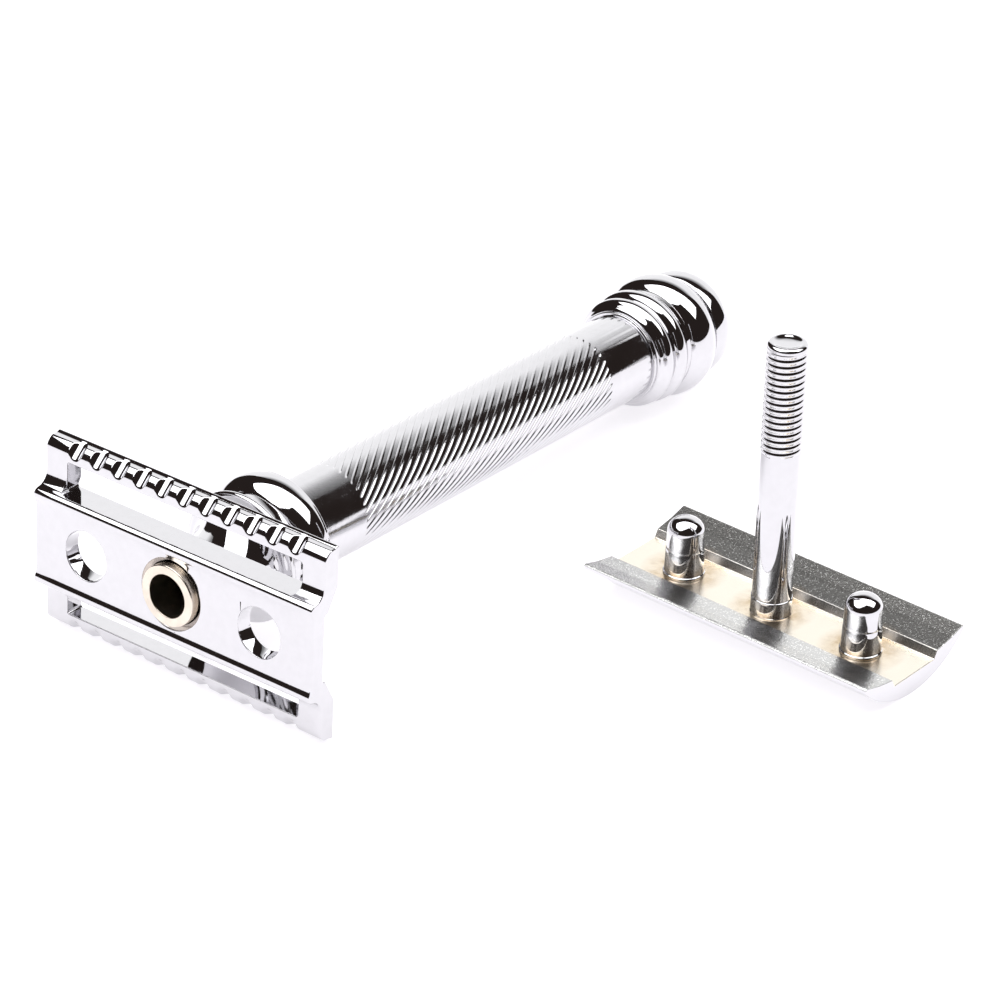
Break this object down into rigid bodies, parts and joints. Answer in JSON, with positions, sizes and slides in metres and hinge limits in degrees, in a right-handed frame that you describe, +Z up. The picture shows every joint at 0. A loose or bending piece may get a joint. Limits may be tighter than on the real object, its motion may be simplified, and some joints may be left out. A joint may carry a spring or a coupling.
{
  "type": "safety razor",
  "caption": "Long-handled double-edge safety razor taken apart: twist-knob handle with baseplate, and loose cap with threaded stud and locating pegs.",
  "frame": {"origin": "on the bench, under the middle of the bounding box of the handle and the loose cap", "axes": "+X along the lying handle from the head to the knob, +Y along the blade edge away from the loose cap, +Z up from the bench"},
  "size_m": [0.1034, 0.0868, 0.038],
  "materials": {
    "baseplate": "polished",
    "neck_collar": "polished",
    "handle_tube": "polished with spiral flutes",
    "upper_bush": "turned",
    "lower_bush": "turned",
    "thrust_washer": "polished",
    "drive_tube": "nickel-plated, warm",
    "thread_insert": "turned",
    "retaining_ring": "turned",
    "tube_plug": "turned",
    "knob": "polished",
    "knob_screw": "turned",
    "screw_washer": "turned",
    "knob_end_disc": "polished",
    "cap_plate": "polished outside, cast satin grain underneath",
    "cap_stud": "polished",
    "left_peg": "polished",
    "right_peg": "polished"
  },
  "bodies": {
    "handle": {"baseplate": "baseplate", "neck_collar": "neck_collar", "handle_tube": "handle_tube", "upper_bush": "upper_bush", "lower_bush": "lower_bush", "thrust_washer": "thrust_washer"},
    "drive": {"drive_tube": "drive_tube", "thread_insert": "thread_insert", "retaining_ring": "retaining_ring", "tube_plug": "tube_plug", "knob": "knob", "knob_screw": "knob_screw", "screw_washer": "screw_washer", "knob_end_disc": "knob_end_disc"},
    "cap": {"cap_plate": "cap_plate", "cap_stud": "cap_stud", "left_peg": "left_peg", "right_peg": "right_peg"}
  },
  "joints": [
    {"name": "knob_turn", "type": "hinge", "parent": "handle", "child": "drive", "pos_m": [0.03904, 0.02266, 0.00837], "axis": [0.9988, 0, -0.0494], "continuous": true},
    {"name": "cap_lift", "type": "slide", "parent": "handle", "child": "cap", "axis": [0, 0, 1], "range_m": [0, 0.033]}
  ]
}
